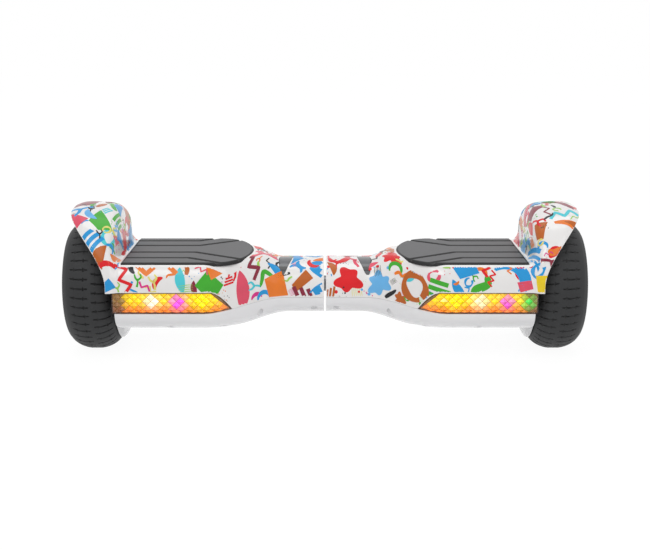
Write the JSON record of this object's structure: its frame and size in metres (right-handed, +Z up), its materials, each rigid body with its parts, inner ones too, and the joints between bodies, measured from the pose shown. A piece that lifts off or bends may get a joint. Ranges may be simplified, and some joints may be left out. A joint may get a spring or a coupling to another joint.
{
  "type": "self balancing hoverboard",
  "caption": "Two-wheeled self balancing board with hinged halves, hub-motor wheels under fenders, foot pads and long front lights.",
  "frame": {"origin": "on the ground under the middle of the board", "axes": "+X along the board to its right half, -Y to the front with the lights, +Z up"},
  "size_m": [0.65, 0.1868, 0.1885],
  "materials": {
    "printed_shell": "glossy moulded ABS with a printed pattern",
    "white_shell": "glossy white moulded ABS",
    "pad_rubber": "grooved moulded rubber",
    "tyre_rubber": "matte moulded rubber",
    "clear_lens": "clear moulded polycarbonate",
    "smoked_lens": "smoked glossy polycarbonate",
    "amber_reflector": "diamond facets lit from behind",
    "cast_aluminium": "as cast",
    "black_metal": "black powder coat",
    "steel": "turned steel",
    "bronze": "sintered bronze",
    "stator_core": "wound laminated core",
    "circuit_board": "green solder mask",
    "battery_wrap": "blue shrink wrap",
    "black_plastic": "fine moulded texture"
  },
  "bodies": {
    "left_half": {"top_shell_left": "printed_shell", "bottom_shell_left": "white_shell", "light_lens_left": "clear_lens", "light_reflector_left": "amber_reflector", "light_board_left": "circuit_board", "turn_lens_left": "smoked_lens", "frame_left": "cast_aluminium", "axle_clamp_left": "cast_aluminium", "sensor_board_left": "circuit_board", "stator_left": "stator_core", "axle_left": "steel", "shell_screw_left_1": "steel", "shell_screw_left_2": "steel", "shell_screw_left_3": "steel", "shell_screw_left_4": "steel", "centre_shaft": "steel", "shaft_clip": "steel", "heat_sink": "cast_aluminium", "main_board": "circuit_board"},
    "right_half": {"top_shell_right": "printed_shell", "bottom_shell_right": "white_shell", "light_lens_right": "clear_lens", "light_reflector_right": "amber_reflector", "light_board_right": "circuit_board", "turn_lens_right": "smoked_lens", "frame_right": "cast_aluminium", "axle_clamp_right": "cast_aluminium", "sensor_board_right": "circuit_board", "stator_right": "stator_core", "axle_right": "steel", "shell_screw_right_1": "steel", "shell_screw_right_2": "steel", "shell_screw_right_3": "steel", "shell_screw_right_4": "steel", "shaft_bushing_1": "bronze", "shaft_bushing_2": "bronze", "battery_pack": "battery_wrap", "battery_strap": "steel", "button_housing": "steel", "charge_socket": "black_plastic"},
    "wheel_left": {"tyre_left": "tyre_rubber", "rim_left": "black_metal", "wheel_cover_left": "black_metal", "wheel_bearing_left_1": "steel", "wheel_bearing_left_2": "steel"},
    "pad_left": {"foot_pad_left": "pad_rubber", "pad_plunger_left_1": "black_plastic", "pad_plunger_left_2": "black_plastic"},
    "wheel_right": {"tyre_right": "tyre_rubber", "rim_right": "black_metal", "wheel_cover_right": "black_metal", "wheel_bearing_right_1": "steel", "wheel_bearing_right_2": "steel"},
    "pad_right": {"foot_pad_right": "pad_rubber", "pad_plunger_right_1": "black_plastic", "pad_plunger_right_2": "black_plastic"},
    "power_button": {"power_button": "black_plastic"},
    "charge_cap": {"charge_cap": "pad_rubber"}
  },
  "joints": [
    {"name": "centre_twist", "type": "hinge", "parent": "left_half", "child": "right_half", "pos_m": [0, 0, 0.0832], "axis": [1, 0, 0], "range_deg": [-12, 12]},
    {"name": "wheel_left_spin", "type": "hinge", "parent": "left_half", "child": "wheel_left", "pos_m": [-0.29325, 0, 0.0832], "axis": [1, 0, 0], "continuous": true},
    {"name": "pad_left_press", "type": "slide", "parent": "left_half", "child": "pad_left", "axis": [0, 0, -1], "range_m": [0, 0.0015], "stiffness_N_per_m": 4000, "springref_m": -0.0008},
    {"name": "wheel_right_spin", "type": "hinge", "parent": "right_half", "child": "wheel_right", "pos_m": [0.29325, 0, 0.0832], "axis": [1, 0, 0], "continuous": true},
    {"name": "pad_right_press", "type": "slide", "parent": "right_half", "child": "pad_right", "axis": [0, 0, -1], "range_m": [0, 0.0015], "stiffness_N_per_m": 4000, "springref_m": -0.0008},
    {"name": "power_button_press", "type": "slide", "parent": "right_half", "child": "power_button", "axis": [0, -1, 0], "range_m": [0, 0.0015], "stiffness_N_per_m": 300, "springref_m": -0.001},
    {"name": "charge_cap_swing", "type": "hinge", "parent": "right_half", "child": "charge_cap", "pos_m": [0.19, 0.0925, 0.0915], "axis": [1, 0, 0], "range_deg": [0, 110]}
  ]
}
